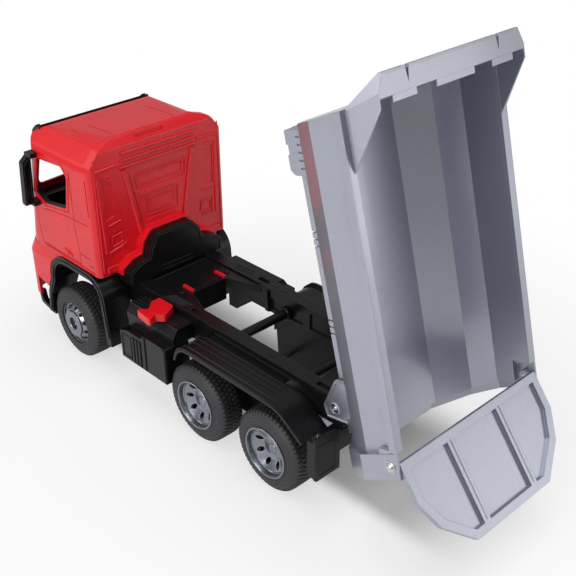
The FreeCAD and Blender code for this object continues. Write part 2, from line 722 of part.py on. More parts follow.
def collar():
    """Frame round the rear end: solid on the shell, and a thin lip round the tailgate."""
    outer = bed_prism(COLLAR_SECTION + [(RIM_OUT_Y, RIM_LIP_V)], -80, 60)
    lip = outer.cut(bed_prism(inset_section(COLLAR_SECTION, COLLAR_WALL, BED_RIM_V), -90, 70))
    on_shell = outer.cut(bed_outside(BED_RIM_V)).common(between_ends(to_shell_end(), 0))
    ring = lip.fuse(on_shell).cut(end_notch()).fuse(collar_cheeks())
    band = between_ends(0, 0).cut(between_ends(COLLAR_LENGTH, 40))
    return ring.common(band).cut(gate_pin_hole())


def under_beam():
    low, high = BEAM_Y
    bar = block(-60, 215, low, high, BEAM_LOW_V, BED_FLOOR_V + 4)
    behind_collar = between_ends(COLLAR_LENGTH, -37)
    return bar.common(behind_collar).cut(bed_outside(BED_RIM_V))


def bed_rest():
    """Ribbed foot at the front of the bed that comes down on the rail."""
    foot = side_plate([(213, 12, 3), (217, 7.4), (250, 7.4, 2), (250, 40), (213, 40)], 53.5, 62)
    pad = block(217, 250, BEAM_Y[0], 53.5, 7.4, 40)
    return foot.fuse(pad).cut(bed_outside(BED_RIM_V))


def hinge_bracket():
    inner = RAIL_OUT_Y + SLIDING
    ear = side_plate([(29, 40), (29, 6.5, 2), (1, -14, 7), (-11, -12, 6), (-13, 40)],
                     inner, inner + BRACKET_THICK)
    ear = ear.cut(rod(0, 0, TRUNNION_R + RUNNING, inner - 1, inner + 10))
    return ear.cut(bed_outside(BED_RIM_V)).cut(under_collar())


def under_collar():
    return bed_prism(COLLAR_SECTION + [(RIM_OUT_Y, RIM_LIP_V)], -80, 60).common(
        between_ends(0, 0).cut(between_ends(COLLAR_LENGTH, 40)))


def canopy_block(inset):
    top = CANOPY_TOP_V - inset
    rim_v = BED_RIM_V
    lean = inset * 1.3
    side = side_plate([(CHEEK_REAR_U, rim_v), (front_u(rim_v) - lean, rim_v),
                       (CANOPY_FRONT_U - lean, top - 3), (CANOPY_FRONT_U - lean, top),
                       (CHEEK_FOLD_U, top)], -120, 120)
    half = BED_HALF_WIDTH - inset
    plan = flat_plate([(200, half), (CHEEK_FOLD_U, half), (CANOPY_FRONT_U, half - 11),
                       (CANOPY_FRONT_U, -half + 11), (CHEEK_FOLD_U, -half), (200, -half)], 90, 150)
    face = front_plate(both_halves([(half, rim_v), (half - 5, CANOPY_TOP_V)]), 190, 320)
    return side.common(plan).common(face)


def canopy():
    """Guard plate over the front wall, with a sloping front and two cheeks."""
    hollow = canopy_block(CANOPY_WALL)
    mouth_side = side_plate([(190, 90), (front_u(BED_RIM_V) - 3, BED_RIM_V),
                             (CANOPY_STRIP_U, 120), (CANOPY_STRIP_U, 150), (190, 150)], -120, 120)
    inner_half = BED_HALF_WIDTH - CANOPY_WALL
    mouth = mouth_side.common(front_plate(both_halves([(inner_half, BED_RIM_V - 1),
                                                       (inner_half - 5, 150)]), 180, 330))
    guard = canopy_block(0).cut(hollow).cut(mouth)
    for y in (-51.4, 51.4):
        wedge = flat_plate([(282, y), (CANOPY_FRONT_U + 1, y - 2.2), (CANOPY_FRONT_U + 1, y + 2.2)],
                           120, 150)
        guard = guard.cut(wedge)
    return guard


def gate_pin():
    """Domed pin through the collar and the tailgate's ear."""
    shank = rod(GATE_PIN_U, GATE_PIN_V, GATE_PIN_R, EAR_IN_Y, RIM_OUT_Y + 0.5)
    head = turned([(0, RIM_OUT_Y), (4.2, RIM_OUT_Y), (4.2, RIM_OUT_Y + 1), (2.4, RIM_OUT_Y + 2.6),
                   (0, RIM_OUT_Y + 3)], GATE_PIN_U, GATE_PIN_V)
    return shank.fuse(head)


def tailgate():
    """Closed place: a tray open to the rear, with a border, two ribs and an ear at each end.

    It is built upright about its pin, where a height z stands for the distance up its face,
    and is then leaned as the rear end leans.
    """
    lean = math.radians(BED_REAR_LEAN_DEG)
    inner = GATE_FACE - GATE_THICK
    pin_level = GATE_PIN_V + inner * math.sin(lean)
    section = inset_section(COLLAR_SECTION, COLLAR_WALL + SLIDING, BED_RIM_V)
    corners = [(y, (v - pin_level) / math.cos(lean)) for y, v in section[:-1]]
    half_width = corners[-1][0]
    plate = front_plate(both_halves(corners + [(half_width, GATE_TOP)]), -GATE_FACE, -inner)
    sunk = both_halves(inset_section(corners, GATE_BORDER, GATE_TOP - GATE_BORDER))
    tray = front_plate(sunk, -GATE_FACE - 1, GATE_RECESS - GATE_FACE)
    for y in (-GATE_RIB_Y, GATE_RIB_Y):
        rib_half = GATE_RIB_WIDTH / 2
        tray = tray.cut(block(-20, 0, y - rib_half, y + rib_half, -100, GATE_TOP))
    plate = plate.cut(tray)
    r = EAR_R
    ear = side_plate([(-inner - 1, -2 * r), (-inner - 1, GATE_TOP), (-r / 2, r, 1), (r, r, r - 0.2),
                      (r, -r, r - 0.2), (-r / 2, -r - 0.5, 1)], EAR_IN_Y, half_width)
    plate = plate.fuse([ear, other_side(ear)])
    plate = plate.cut(rod(0, 0, GATE_PIN_R + RUNNING, -120, 120))
    plate.rotate(vec(0, 0, 0), vec(0, 1, 0), BED_REAR_LEAN_DEG)
    plate.translate(vec(GATE_PIN_U, 0, GATE_PIN_V))
    return plate


def make_bed():
    save("bed_shell", in_bed(bed_shell()))
    save("headboard", in_bed(headboard()))
    save("canopy", in_bed(canopy()))
    save("bed_collar", in_bed(collar()))
    for node, piece in (("bed_rims", rim()), ("bed_beams", under_beam()), ("bed_rests", bed_rest()),
                        ("hinge_brackets", hinge_bracket()), ("gate_pins", gate_pin())):
        save(node, in_bed(piece), in_bed(other_side(piece)))
    save("tailgate", in_gate(tailgate()))


os.makedirs("parts", exist_ok=True)
make_wheels()
make_chassis()
make_side_pieces()
make_cab()
make_bed()
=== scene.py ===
import bmesh
import bpy
import math
from mathutils import Matrix, Vector


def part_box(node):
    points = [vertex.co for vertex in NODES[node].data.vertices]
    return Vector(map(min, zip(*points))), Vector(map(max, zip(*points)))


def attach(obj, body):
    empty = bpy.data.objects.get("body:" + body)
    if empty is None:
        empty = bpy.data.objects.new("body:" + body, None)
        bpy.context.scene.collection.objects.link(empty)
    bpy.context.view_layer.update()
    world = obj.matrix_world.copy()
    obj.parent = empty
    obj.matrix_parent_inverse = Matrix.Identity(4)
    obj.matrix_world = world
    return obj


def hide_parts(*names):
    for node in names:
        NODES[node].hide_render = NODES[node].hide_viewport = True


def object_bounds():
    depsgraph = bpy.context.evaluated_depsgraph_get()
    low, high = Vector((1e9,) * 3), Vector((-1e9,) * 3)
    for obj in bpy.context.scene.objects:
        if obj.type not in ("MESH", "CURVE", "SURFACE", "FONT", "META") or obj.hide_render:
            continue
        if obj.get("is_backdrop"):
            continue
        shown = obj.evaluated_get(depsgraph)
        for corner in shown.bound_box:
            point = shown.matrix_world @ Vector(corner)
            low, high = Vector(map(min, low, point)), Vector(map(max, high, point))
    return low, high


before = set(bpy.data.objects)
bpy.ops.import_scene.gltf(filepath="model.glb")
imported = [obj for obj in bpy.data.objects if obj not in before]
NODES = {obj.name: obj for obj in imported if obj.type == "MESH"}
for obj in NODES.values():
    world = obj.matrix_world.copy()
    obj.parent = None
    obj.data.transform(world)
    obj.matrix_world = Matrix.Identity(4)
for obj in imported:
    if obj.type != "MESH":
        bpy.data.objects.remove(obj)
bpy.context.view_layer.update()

# ---- The studio -------------------------------------------------------------------------------
# White paper under four soft lamps: a wide one overhead, a strong one to the truck's left, and
# weak ones in front and behind. A painted shadow greys the paper under the truck, and a painted
# reflection makes the paper glow in reflections, more on the truck's right. The camera looks down
# on the truck's left rear from about a metre away.
scene = bpy.context.scene
scene.view_settings.view_transform = "Standard"

CAMERA_AZIMUTH = math.radians(137.32)
CAMERA_ELEVATION = math.radians(30.10)
CAMERA_ROLL = math.radians(-0.97)
CAMERA_PLACE = Vector((-0.6348, 0.5657, 0.6287))
CAMERA_LENS = 62.0
CAMERA_SENSOR = 36.0
CAMERA_SHIFT = (0.0203, 0.0061)
CAMERA_REACH = 50.0
PAPER_HALF = 6.0
PAPER_WHITE = 0.88
PAPER_FIBRE = 0.02
PAPER_PAINTED_SHADOW = (0.35, 0.35, 0.36, 1)
AIR_LIGHT = 0.22
AIR_MIRRORED = 0.20
# name, place, what it points at, size (metres), power (watts)
LAMPS = (("lamp_over", (-0.35, 0.0, 1.7), (0.0, 0.0, 0.1), (1.3, 1.3), 16.8),
         ("lamp_front", (1.2, 1.1, 1.15), (0.0, 0.0, 0.1), (0.8, 0.8), 3.8),
         ("lamp_left", (-0.15, 1.8, 0.80), (0.05, 0.0, 0.15), (1.1, 0.9), 18.6),
         ("lamp_rear", (-1.75, -1.2, 0.40), (0.0, 0.0, 0.2), (1.0, 0.8), 3.7))


class Value:
    """A socket of a finish, so that sums on it read as plain maths."""

    def __init__(self, finish, socket):
        self.finish, self.socket = finish, socket

    def maths(self, operation, *values):
        return self.finish.node("Math", {"operation": operation}, dict(enumerate(values)))

    def __add__(self, other):
        return self.maths("ADD", self, other)

    def __mul__(self, other):
        return self.maths("MULTIPLY", self, other)

    def __rsub__(self, other):
        return self.maths("SUBTRACT", other, self)

    def over(self, low, high):
        """0 below low, 1 above high, and smooth between them."""
        return self.finish.node("MapRange", {"interpolation_type": "SMOOTHSTEP"},
                                {"Value": self, "From Min": low, "From Max": high})


class Finish:
    """A material that is built up node by node."""

    def __init__(self, name):
        self.material = bpy.data.materials.new(name)
        self.material.use_nodes = True
        self.tree = self.material.node_tree
        self.tree.nodes.clear()

    def node(self, kind, settings=None, sockets=None, out=0):
        made = self.tree.nodes.new("ShaderNode" + kind)
        for key, value in (settings or {}).items():
            setattr(made, key, value)
        for key, value in (sockets or {}).items():
            if isinstance(value, Value):
                self.tree.links.new(value.socket, made.inputs[key])
            else:
                made.inputs[key].default_value = value
        return Value(self, made.outputs[out])

    def mix(self, factor, first, second):
        colours = {0: factor, 6: first, 7: second}
        return self.node("Mix", {"data_type": "RGBA"}, colours, 2)

    def close(self, shader):
        output = self.tree.nodes.new("ShaderNodeOutputMaterial")
        self.tree.links.new(shader.socket, output.inputs["Surface"])
        return self.material


camera = bpy.data.objects.new("camera", bpy.data.cameras.new("camera"))
backwards = Vector((math.cos(CAMERA_ELEVATION) * math.cos(CAMERA_AZIMUTH),
                    math.cos(CAMERA_ELEVATION) * math.sin(CAMERA_AZIMUTH),
                    math.sin(CAMERA_ELEVATION)))
across = Vector((0, 0, 1)).cross(backwards).normalized()
upwards = backwards.cross(across)
turned_across = math.cos(CAMERA_ROLL) * across + math.sin(CAMERA_ROLL) * upwards
turned_up = math.cos(CAMERA_ROLL) * upwards - math.sin(CAMERA_ROLL) * across
facing = Matrix((turned_across, turned_up, backwards)).transposed()
camera.matrix_world = Matrix.Translation(CAMERA_PLACE) @ facing.to_4x4()
camera.data.sensor_width = CAMERA_SENSOR
camera.data.lens = CAMERA_LENS
camera.data.shift_x, camera.data.shift_y = CAMERA_SHIFT
camera.data.clip_end = CAMERA_REACH
scene.collection.objects.link(camera)
scene.camera = camera

paper = Finish("studio_paper")
paper_place = paper.node("TexCoord", {}, {}, "Object")
fibres = paper.node("TexNoise", {}, {"Vector": paper_place, "Scale": 60.0, "Detail": 4.0})
paper_white = paper.mix(fibres, (PAPER_WHITE,) * 3 + (1,), (PAPER_WHITE + PAPER_FIBRE,) * 3 + (1,))
paper_glow = paper.node("Emission", {}, {"Color": (1, 1, 1, 1), "Strength": 1.0})
seen = paper.node("LightPath", {}, {}, "Is Camera Ray")
mirrored = paper.node("LightPath", {}, {}, "Is Glossy Ray")
distance = paper.node("VectorMath", {"operation": "LENGTH"}, {0: paper_place}, "Value")
sideways = paper.node("SeparateXYZ", {}, {0: paper_place}, "Y")
# Painted shadow: in a patch under the truck the paper is drawn greyer and glows less.
painted_shadow_under_truck = (sideways.over(-0.150, -0.080) * sideways.over(0.055, 0.030)
              * distance.over(0.30, 0.20))
paper_lit = paper.node("BsdfDiffuse", {}, {
    "Color": paper.mix(painted_shadow_under_truck * 0.8, paper_white, PAPER_PAINTED_SHADOW)})
# Painted reflection: seen in reflections the paper glows, strongly on the truck's right (-y) and
# hardly on its left.
painted_reflection_share = sideways.over(1.4, -1.2) * 0.45 + 0.03
glow_share = seen * (distance.over(0.20, 0.62) * 0.36 + 0.64) * (1 - painted_shadow_under_truck * 0.75)
paper_mix = paper.node("MixShader", {}, {0: glow_share + mirrored * painted_reflection_share,
                                         1: paper_lit, 2: paper_glow})
floor_mesh = bpy.data.meshes.new("studio_floor")
floor_mesh.from_pydata([(PAPER_HALF * a, PAPER_HALF * b, 0)
                        for a, b in ((-1, -1), (1, -1), (1, 1), (-1, 1))], [], [(0, 1, 2, 3)])
floor = bpy.data.objects.new("studio_floor", floor_mesh)
floor.data.materials.append(paper.close(paper_mix))
scene.collection.objects.link(floor)
floor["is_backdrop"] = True

world = bpy.data.worlds.new("studio_air")
scene.world = world
world.use_nodes = True
air = world.node_tree
air.nodes.clear()
air_path = air.nodes.new("ShaderNodeLightPath")
air_mirrored = air.nodes.new("ShaderNodeMath")
air_mirrored.operation = "MULTIPLY_ADD"
air.links.new(air_path.outputs["Is Glossy Ray"], air_mirrored.inputs[0])
air_mirrored.inputs[1].default_value = AIR_MIRRORED
air.links.new(air_path.outputs["Is Transmission Ray"], air_mirrored.inputs[2])
air_sees = air.nodes.new("ShaderNodeMath")
air_sees.operation = "MAXIMUM"
air.links.new(air_path.outputs["Is Camera Ray"], air_sees.inputs[0])
air.links.new(air_mirrored.outputs[0], air_sees.inputs[1])
air_glow = air.nodes.new("ShaderNodeMix")
air_glow.inputs[2].default_value = AIR_LIGHT
air_glow.inputs[3].default_value = 1.0
air.links.new(air_sees.outputs[0], air_glow.inputs[0])
air_back = air.nodes.new("ShaderNodeBackground")
air_back.inputs["Color"].default_value = (1, 1, 1, 1)
air.links.new(air_glow.outputs[0], air_back.inputs["Strength"])
air_out = air.nodes.new("ShaderNodeOutputWorld")
air.links.new(air_back.outputs[0], air_out.inputs["Surface"])

for lamp_name, place, target, size, power in LAMPS:
    lamp = bpy.data.objects.new(lamp_name, bpy.data.lights.new(lamp_name, "AREA"))
    lamp.data.shape = "RECTANGLE"
    lamp.data.size, lamp.data.size_y = size
    lamp.data.energy = power
    away = (Vector(place) - Vector(target)).normalized().to_track_quat("Z", "Y")
    lamp.matrix_world = Matrix.Translation(place) @ away.to_matrix().to_4x4()
    scene.collection.objects.link(lamp)

# ---- Chassis frame ----------------------------------------------------------------------------
# Two box rails, a deck between them and two cross tubes, injection-moulded in black plastic
# with a satin shine. The pieces clip together, and moulded ribs and pads stand on the rails.
MM = 0.001
FRAME_X = 2.7
TRUCK = Matrix.Translation((FRAME_X * MM, 0, 0)) @ Matrix.Scale(MM, 4)
LEFT = Matrix.Identity(4)
RIGHT = Matrix.Scale(-1, 4, (0, 1, 0))
SIDES = (("left", LEFT), ("right", RIGHT))
HANDS = (1, -1)
BLACK = (0.0045, 0.0045, 0.0052, 1)
# Paler colour for black edges: part rubbed wear, part painted highlight.
BLACK_RUB_AND_HIGHLIGHT = (0.075, 0.075, 0.085, 1)


def plane(origin, across, along, out):
    """Millimetres measured across, along and out from an origin."""
    axes = Matrix((across, along, out)).transposed().to_4x4()
    return Matrix.Translation(origin) @ axes


def from_above(x, y, z):
    """Forward and left, seen from above."""
    return plane((x, y, z), (1, 0, 0), (0, 1, 0), (0, 0, 1))


def from_left(x, y, z):
    """Forward and up, seen from the left."""
    return plane((x, y, z), (1, 0, 0), (0, 0, 1), (0, 1, 0))


def from_inside(x, y, z):
    """Forward and up, seen from the truck's middle."""
    return plane((x, y, z), (1, 0, 0), (0, 0, 1), (0, -1, 0))


def from_behind(x, y, z):
    """Left and up, seen from behind."""
    return plane((x, y, z), (0, 1, 0), (0, 0, 1), (-1, 0, 0))


def box_outline(x_low, x_high, y_low, y_high):
    """Four corners, across and along."""
    return [(x_low, y_low), (x_high, y_low), (x_high, y_high), (x_low, y_high)]


def plastic(name, colour, rubbed_and_highlit, roughness, sockets=None, flakes=0.0, metallic=0.0, wear_and_highlight=0.30):
    """Moulded plastic: fine grain, slow flow marks, faint scuffs, and edges paler by wear and
    painted highlight.
    """
    look = Finish(name)
    place = look.node("TexCoord", {}, {}, "Object")
    flow = look.node("TexNoise", {}, {"Vector": place, "Scale": 14.0, "Detail": 2.0})
    grain = look.node("TexNoise", {}, {"Vector": place, "Scale": 1500.0, "Detail": 2.0})
    brushed = look.node("Mapping", {}, {"Vector": place, "Rotation": (0.3, 0.5, 0.7),
                                        "Scale": (30.0, 700.0, 260.0)})
    scuffs = look.node("TexNoise", {}, {"Vector": brushed, "Scale": 1.0,
                                       "Detail": 3.0}).over(0.62, 0.80)
    rounded = look.node("Bevel", {"samples": 6}, {"Radius": 0.0007})
    true = look.node("NewGeometry", {}, {}, "Normal")
    level = look.node("VectorMath", {"operation": "DOT_PRODUCT"}, {0: rounded, 1: true}, "Value")
    edge = (1 - level).over(0.02, 0.30)
    shade = tuple(c * 0.90 for c in colour[:3]) + (1,)
    body = look.mix(flow.over(0.3, 0.7), shade, colour)
    if flakes:
        cells = look.node("TexVoronoi", {}, {"Vector": place, "Scale": 2600.0}, "Color")
        glint = look.node("SeparateColor", {}, {"Color": cells}, 0)
        bright = tuple(min(1, c * (1 + flakes)) for c in colour[:3]) + (1,)
        body = look.mix(glint * 0.8, body, bright)
    # Every edge is drawn paler: part rubbed wear, part a painted highlight.
    body = look.mix(edge * wear_and_highlight + scuffs * 0.10, body, rubbed_and_highlit)
    bump = look.node("Bump", {}, {"Height": grain * 0.7 + flow * 0.3, "Normal": rounded,
                                  "Strength": 0.10, "Distance": 0.0004})
    surface = {"Base Color": body, "Normal": bump, "Metallic": metallic,
               "Roughness": flow * 0.08 + scuffs * 0.12 + edge * 0.05 + (roughness - 0.04)}
    surface.update(sockets or {})
    return look.close(look.node("BsdfPrincipled", {}, surface))


def dress(finish, *nodes):
    for node in nodes:
        for slot in NODES[node].material_slots:
            slot.material = finish


def stand(mesh, name, finish, body, sharp):
    """Makes a mesh a finished piece that rides on a body."""
    mesh.polygons.foreach_set("use_smooth", [True] * len(mesh.polygons))
    mesh.set_sharp_from_angle(angle=math.radians(sharp))
    mesh.materials.clear()
    mesh.materials.append(finish)
    piece = bpy.data.objects.new(name, mesh)
    scene.collection.objects.link(piece)
    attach(piece, body)
    return piece


def moved_in(points, inset, closed=True):
    """The points of an outline, each moved to the left of its run by inset, mitred."""
    moved = []
    count = len(points)
    for i, point in enumerate(points):
        here = Vector(point[:2])
        runs = []
        if closed or i > 0:
            runs.append((here - Vector(points[i - 1][:2])).normalized())
        if closed or i < count - 1:
            runs.append((Vector(points[(i + 1) % count][:2]) - here).normalized())
        sides = [Vector((-run.y, run.x)) for run in runs]
        middle = sum(sides, Vector((0, 0))).normalized()
        moved.append(here + middle * (inset / max(0.3, middle.dot(sides[0]))))
    return moved


class Shape:
    """A piece as it is put together from closed forms, in millimetres."""

    def __init__(self):
        self.bm = bmesh.new()

    def skin(self, place, rings, wrap=False):
        """Closed form through rings of points, capped at its ends or joined to its start."""
        made = [[self.bm.verts.new(place @ Vector(p)) for p in ring] for ring in rings]
        pairs = list(zip(made, made[1:] + made[:1])) if wrap else list(zip(made, made[1:]))
        for low, high in pairs:
            for i in range(len(low)):
                j = (i + 1) % len(low)
                self.bm.faces.new((low[i], low[j], high[j], high[i]))
        if not wrap:
            self.bm.faces.new(made[0])
            self.bm.faces.new(made[-1])

    def plate(self, place, outline, low, high, chamfer=0.4):
        """Outline (across, along), from low to high, with a chamfered top."""
        area = sum(a[0] * b[1] - b[0] * a[1] for a, b in zip(outline, outline[1:] + outline[:1]))
        top = moved_in(outline, chamfer if area > 0 else -chamfer)
        self.skin(place, [[(p[0], p[1], low) for p in outline],
                          [(p[0], p[1], high - chamfer) for p in outline],
                          [(p[0], p[1], high) for p in top]])

    def rib(self, place, path, width, height, closed=False, sink=0.4, chamfer=0.3):
        """Raised line along a path (across, along), sunk a little into what it stands on."""
        half = width / 2
        lines = [moved_in(path, side, closed)
                 for side in (half, half, half - chamfer, chamfer - half, -half, -half)]
        heights = (-sink, height - chamfer, height, height, height - chamfer, -sink)
        rings = [[(line[i][0], line[i][1], h) for line, h in zip(lines, heights)]
                 for i in range(len(path))]
        self.skin(place, rings, wrap=closed)

    def turned(self, place, profile, steps=48):
        """Closed profile (radius, out) turned about the line that points out."""
        rings = []
        for step in range(steps):
            angle = 2 * math.pi * step / steps
            rings.append([(r * math.cos(angle), r * math.sin(angle), c) for r, c in profile])
        self.skin(place, rings, wrap=True)

    def take(self, mesh, place=LEFT):
        """Adds a finished mesh, which is in metres."""
        self.bm.verts.ensure_lookup_table()
        start = len(self.bm.verts)
        self.bm.from_mesh(mesh)
        self.bm.verts.ensure_lookup_table()
        for vertex in self.bm.verts[start:]:
            vertex.co = place @ vertex.co

    def mesh(self, name):
        bmesh.ops.remove_doubles(self.bm, verts=self.bm.verts, dist=1e-7)
        bmesh.ops.recalc_face_normals(self.bm, faces=self.bm.faces)
        mesh = bpy.data.meshes.new(name)
        self.bm.to_mesh(mesh)
        self.bm.free()
        return mesh

    def piece(self, name, finish, body, slot, sharp=38):
        return stand(self.mesh(name), name, finish, body, sharp)


def repeat_tree():
    """Geometry Nodes tree: a part set out in a row, or turned in a ring about the origin."""
    tree = bpy.data.node_groups.new("like_parts", "GeometryNodeTree")
    for name, kind in (("Part", "Object"), ("Count", "Int"), ("Step", "Vector"),
                       ("Turn", "Vector"), ("Finish", "Material")):
        tree.interface.new_socket(name, in_out="INPUT", socket_type="NodeSocket" + kind)
    tree.interface.new_socket("Geometry", in_out="OUTPUT", socket_type="NodeSocketGeometry")
    nodes, links = tree.nodes, tree.links
    given, result = nodes.new("NodeGroupInput"), nodes.new("NodeGroupOutput")
    line = nodes.new("GeometryNodeMeshLine")
    part = nodes.new("GeometryNodeObjectInfo")
    number = nodes.new("GeometryNodeInputIndex")
    angle = nodes.new("ShaderNodeVectorMath")
    angle.operation = "SCALE"
    turn = nodes.new("FunctionNodeEulerToRotation")
    copies = nodes.new("GeometryNodeInstanceOnPoints")
    real = nodes.new("GeometryNodeRealizeInstances")
    painted = nodes.new("GeometryNodeSetMaterial")
    links.new(given.outputs["Count"], line.inputs["Count"])
    links.new(given.outputs["Step"], line.inputs["Offset"])
    links.new(given.outputs["Part"], part.inputs["Object"])
    links.new(given.outputs["Turn"], angle.inputs[0])
    links.new(number.outputs[0], angle.inputs["Scale"])
    links.new(angle.outputs[0], turn.inputs[0])
    links.new(line.outputs[0], copies.inputs["Points"])
    links.new(part.outputs["Geometry"], copies.inputs["Instance"])
    links.new(turn.outputs[0], copies.inputs["Rotation"])
    links.new(copies.outputs[0], real.inputs[0])
    links.new(real.outputs[0], painted.inputs["Geometry"])
    links.new(given.outputs["Finish"], painted.inputs["Material"])
    links.new(painted.outputs[0], result.inputs[0])
    return tree


LIKE_PARTS = repeat_tree()


def repeated(unit, count, finish, step=(0, 0, 0), turn=(0, 0, 0)):
    """Mesh of one shape repeated, each copy a step (millimetres) and a turn from the last."""
    part = bpy.data.objects.new("one_part", unit.mesh("one_part"))
    maker = bpy.data.objects.new("like_parts", bpy.data.meshes.new("like_parts"))
    scene.collection.objects.link(part)
    scene.collection.objects.link(maker)
    modifier = maker.modifiers.new("like_parts", "NODES")
    modifier.node_group = LIKE_PARTS
    given = {"Part": part, "Count": count, "Step": [s * MM for s in step],
             "Turn": list(turn), "Finish": finish}
    for item in LIKE_PARTS.interface.items_tree:
        if item.in_out == "INPUT":
            modifier[item.identifier] = given[item.name]
    bpy.context.view_layer.update()
    ready = maker.evaluated_get(bpy.context.evaluated_depsgraph_get())
    mesh = bpy.data.meshes.new_from_object(ready)
    bpy.data.objects.remove(maker)
    bpy.data.objects.remove(part)
    return mesh


def cut_out(whole, cutter):
    """The mesh with the cutter's forms taken away from it."""
    blank = bpy.data.objects.new("blank", whole)
    knife = bpy.data.objects.new("knife", cutter.mesh("knife"))
    scene.collection.objects.link(blank)
    scene.collection.objects.link(knife)
    cut = blank.modifiers.new("cut", "BOOLEAN")
    cut.operation, cut.solver, cut.object = "DIFFERENCE", "EXACT", knife
    cut.use_self = True
    bpy.context.view_layer.update()
    ready = blank.evaluated_get(bpy.context.evaluated_depsgraph_get())
    mesh = bpy.data.meshes.new_from_object(ready)
    bpy.data.objects.remove(blank)
    bpy.data.objects.remove(knife)
    return mesh


def flat_faced(mesh, sharp):
    """The mesh shaded so that its large faces stay flat beside the rounded ones."""
    mesh.polygons.foreach_set("use_smooth", [True] * len(mesh.polygons))
    mesh.set_sharp_from_angle(angle=math.radians(sharp))
    holder = bpy.data.objects.new("flat_faced", mesh)
    scene.collection.objects.link(holder)
    weighted = holder.modifiers.new("weighted", "WEIGHTED_NORMAL")
    weighted.keep_sharp, weighted.weight = True, 100
    bpy.context.view_layer.update()
    shaded = bpy.data.meshes.new_from_object(
        holder.evaluated_get(bpy.context.evaluated_depsgraph_get()))
    bpy.data.objects.remove(holder)
    return shaded


def carved(node, cutter, name, finish, body, sharp=32):
    """A copy of a CAD node with the cutter's forms cut out of it, which stands for the node."""
    bm = bmesh.new()
    bm.from_mesh(NODES[node].data)
    bmesh.ops.remove_doubles(bm, verts=bm.verts, dist=2e-6)
    whole = bpy.data.meshes.new(name)
    bm.to_mesh(whole)
    bm.free()
    if "custom_normal" in whole.attributes:
        whole.attributes.remove(whole.attributes["custom_normal"])
    mesh = flat_faced(cut_out(whole, cutter), sharp)
    mesh.materials.clear()
    mesh.materials.append(finish)
    piece = bpy.data.objects.new(name, mesh)
    scene.collection.objects.link(piece)
    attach(piece, body)
    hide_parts(node)
    return piece


black = plastic("black_satin_plastic", BLACK, BLACK_RUB_AND_HIGHLIGHT, 0.29, {"Specular IOR Level": 0.27},
                wear_and_highlight=0.45)
dress(black, "frame_deck", "cross_tubes", "bogie_plates", "front_axle_plates", "tail_beam")

RAIL_TOP_Z = 112.0
RAIL_IN_Y = 38.0
RAIL_OUT_Y = 53.0
RAIL_SLOTS = ((36, 52, 42.5, 48.5), (-143, -127, 43, 49))
RAIL_SLOT_DEEP = 2.5
RAIL_WEBS = ((-118, -32, 88, 107), (-22, 27, 88, 101))
RAIL_WEB_DEEP = 2.0
GRIP_COUNT = 13
GRIP_PITCH = 2.2
MARK_XS = (28.5, 14.0, -64.0)
TUBE_XS = (2.0, -97.0)
TUBE_Z = 93.0
for side_name, side in SIDES:
    top = TRUCK @ side @ from_above(0, 0, RAIL_TOP_Z)
    web = TRUCK @ side @ from_inside(0, RAIL_IN_Y, 0)
    slots = Shape()
    for slot_box in RAIL_SLOTS:
        slots.plate(top, box_outline(*slot_box), -RAIL_SLOT_DEEP, 1, 0.1)
    for web_box in RAIL_WEBS:
        slots.plate(web, box_outline(*web_box), -RAIL_WEB_DEEP, 1, 0.1)
    grip = Shape()
    grip.rib(top, [(58, 40.5), (66, 51.5)], 1.1, 1, sink=0.7, chamfer=0.1)
    slots.take(repeated(grip, GRIP_COUNT, black, (GRIP_PITCH, 0, 0)))
    carved("rail_" + side_name, slots, "rail_pressed_" + side_name, black, "truck")
    details = Shape()
    for x in MARK_XS:
        details.plate(top, [(x - 5, 43), (x + 5, 43), (x - 5, 49.5)], -0.3, 0.4, 0.3)
    details.plate(web, [(27, 84.3), (33, 84.3), (32, 108), (28.5, 108)], -0.5, 2.6, 0.5)
    for x in TUBE_XS:
        collar = TRUCK @ side @ from_inside(x, RAIL_IN_Y, TUBE_Z)
        details.turned(collar, [(4.9, -0.3), (7.4, -0.3), (7.4, 3.4), (6.6, 4.2), (4.9, 4.2)], 40)
    outside = TRUCK @ side @ from_left(0, RAIL_OUT_Y, 0)
    details.rib(outside, [(-104, 106), (8, 106)], 1.4, 0.8)
    details.piece("rail_details_" + side_name, black, "truck", "black_plastic")

DECK_TOP_Z = 110.0
deck_details = Shape()
deck_top = TRUCK @ from_above(0, 0, DECK_TOP_Z)
deck_details.rib(deck_top, [(84, -19), (84, 19)], 2.0, 1.2)
deck_details.rib(deck_top, [(129, -36), (129, 36)], 2.0, 1.0)
for y in (-31, 31):
    deck_details.turned(TRUCK @ from_above(88, y, DECK_TOP_Z),
                        [(0, -0.3), (2.6, -0.3), (2.6, 0.9), (2.0, 1.4), (0, 1.4)], 24)
deck_details.piece("deck_details", black, "truck", "black_plastic")

# ---- Axles and wheels -------------------------------------------------------------------------
# Six tyres of hard dark grey plastic with moulded lugs, pushed on silver-grey plastic rims, and
# three plain steel axles. The front rims bulge outwards and the rear rims are dished. A rim ends
# close behind its holed face, so that the tyre's black bore shows through the holes.
TYRE_R = 42.0
TYRE_MIDDLE_Y = 74.5
LUG_COUNT = 54
LUG_HALF = 1.5
LUG_OUTLINE = ((6.6, 40.2), (6.6, 41.9), (10.4, 41.6), (11.6, 40.6), (12.4, 39.4), (11.5, 38.7),
               (9.3, 40.2))
BLOCK_HALF = 1.6
BLOCK_WIDE = 1.7
BLOCK_ROWS = ((-4.4, 0.3), (0.0, 0.75), (4.4, 0.55))
TURN_STEPS = 96
AXLE_XS = {"front": 214.3, "middle": 0.0, "last": -102.4}
TYRE_GREY = (0.025, 0.025, 0.028, 1)
RIM_SILVER = (0.25, 0.265, 0.30, 1)

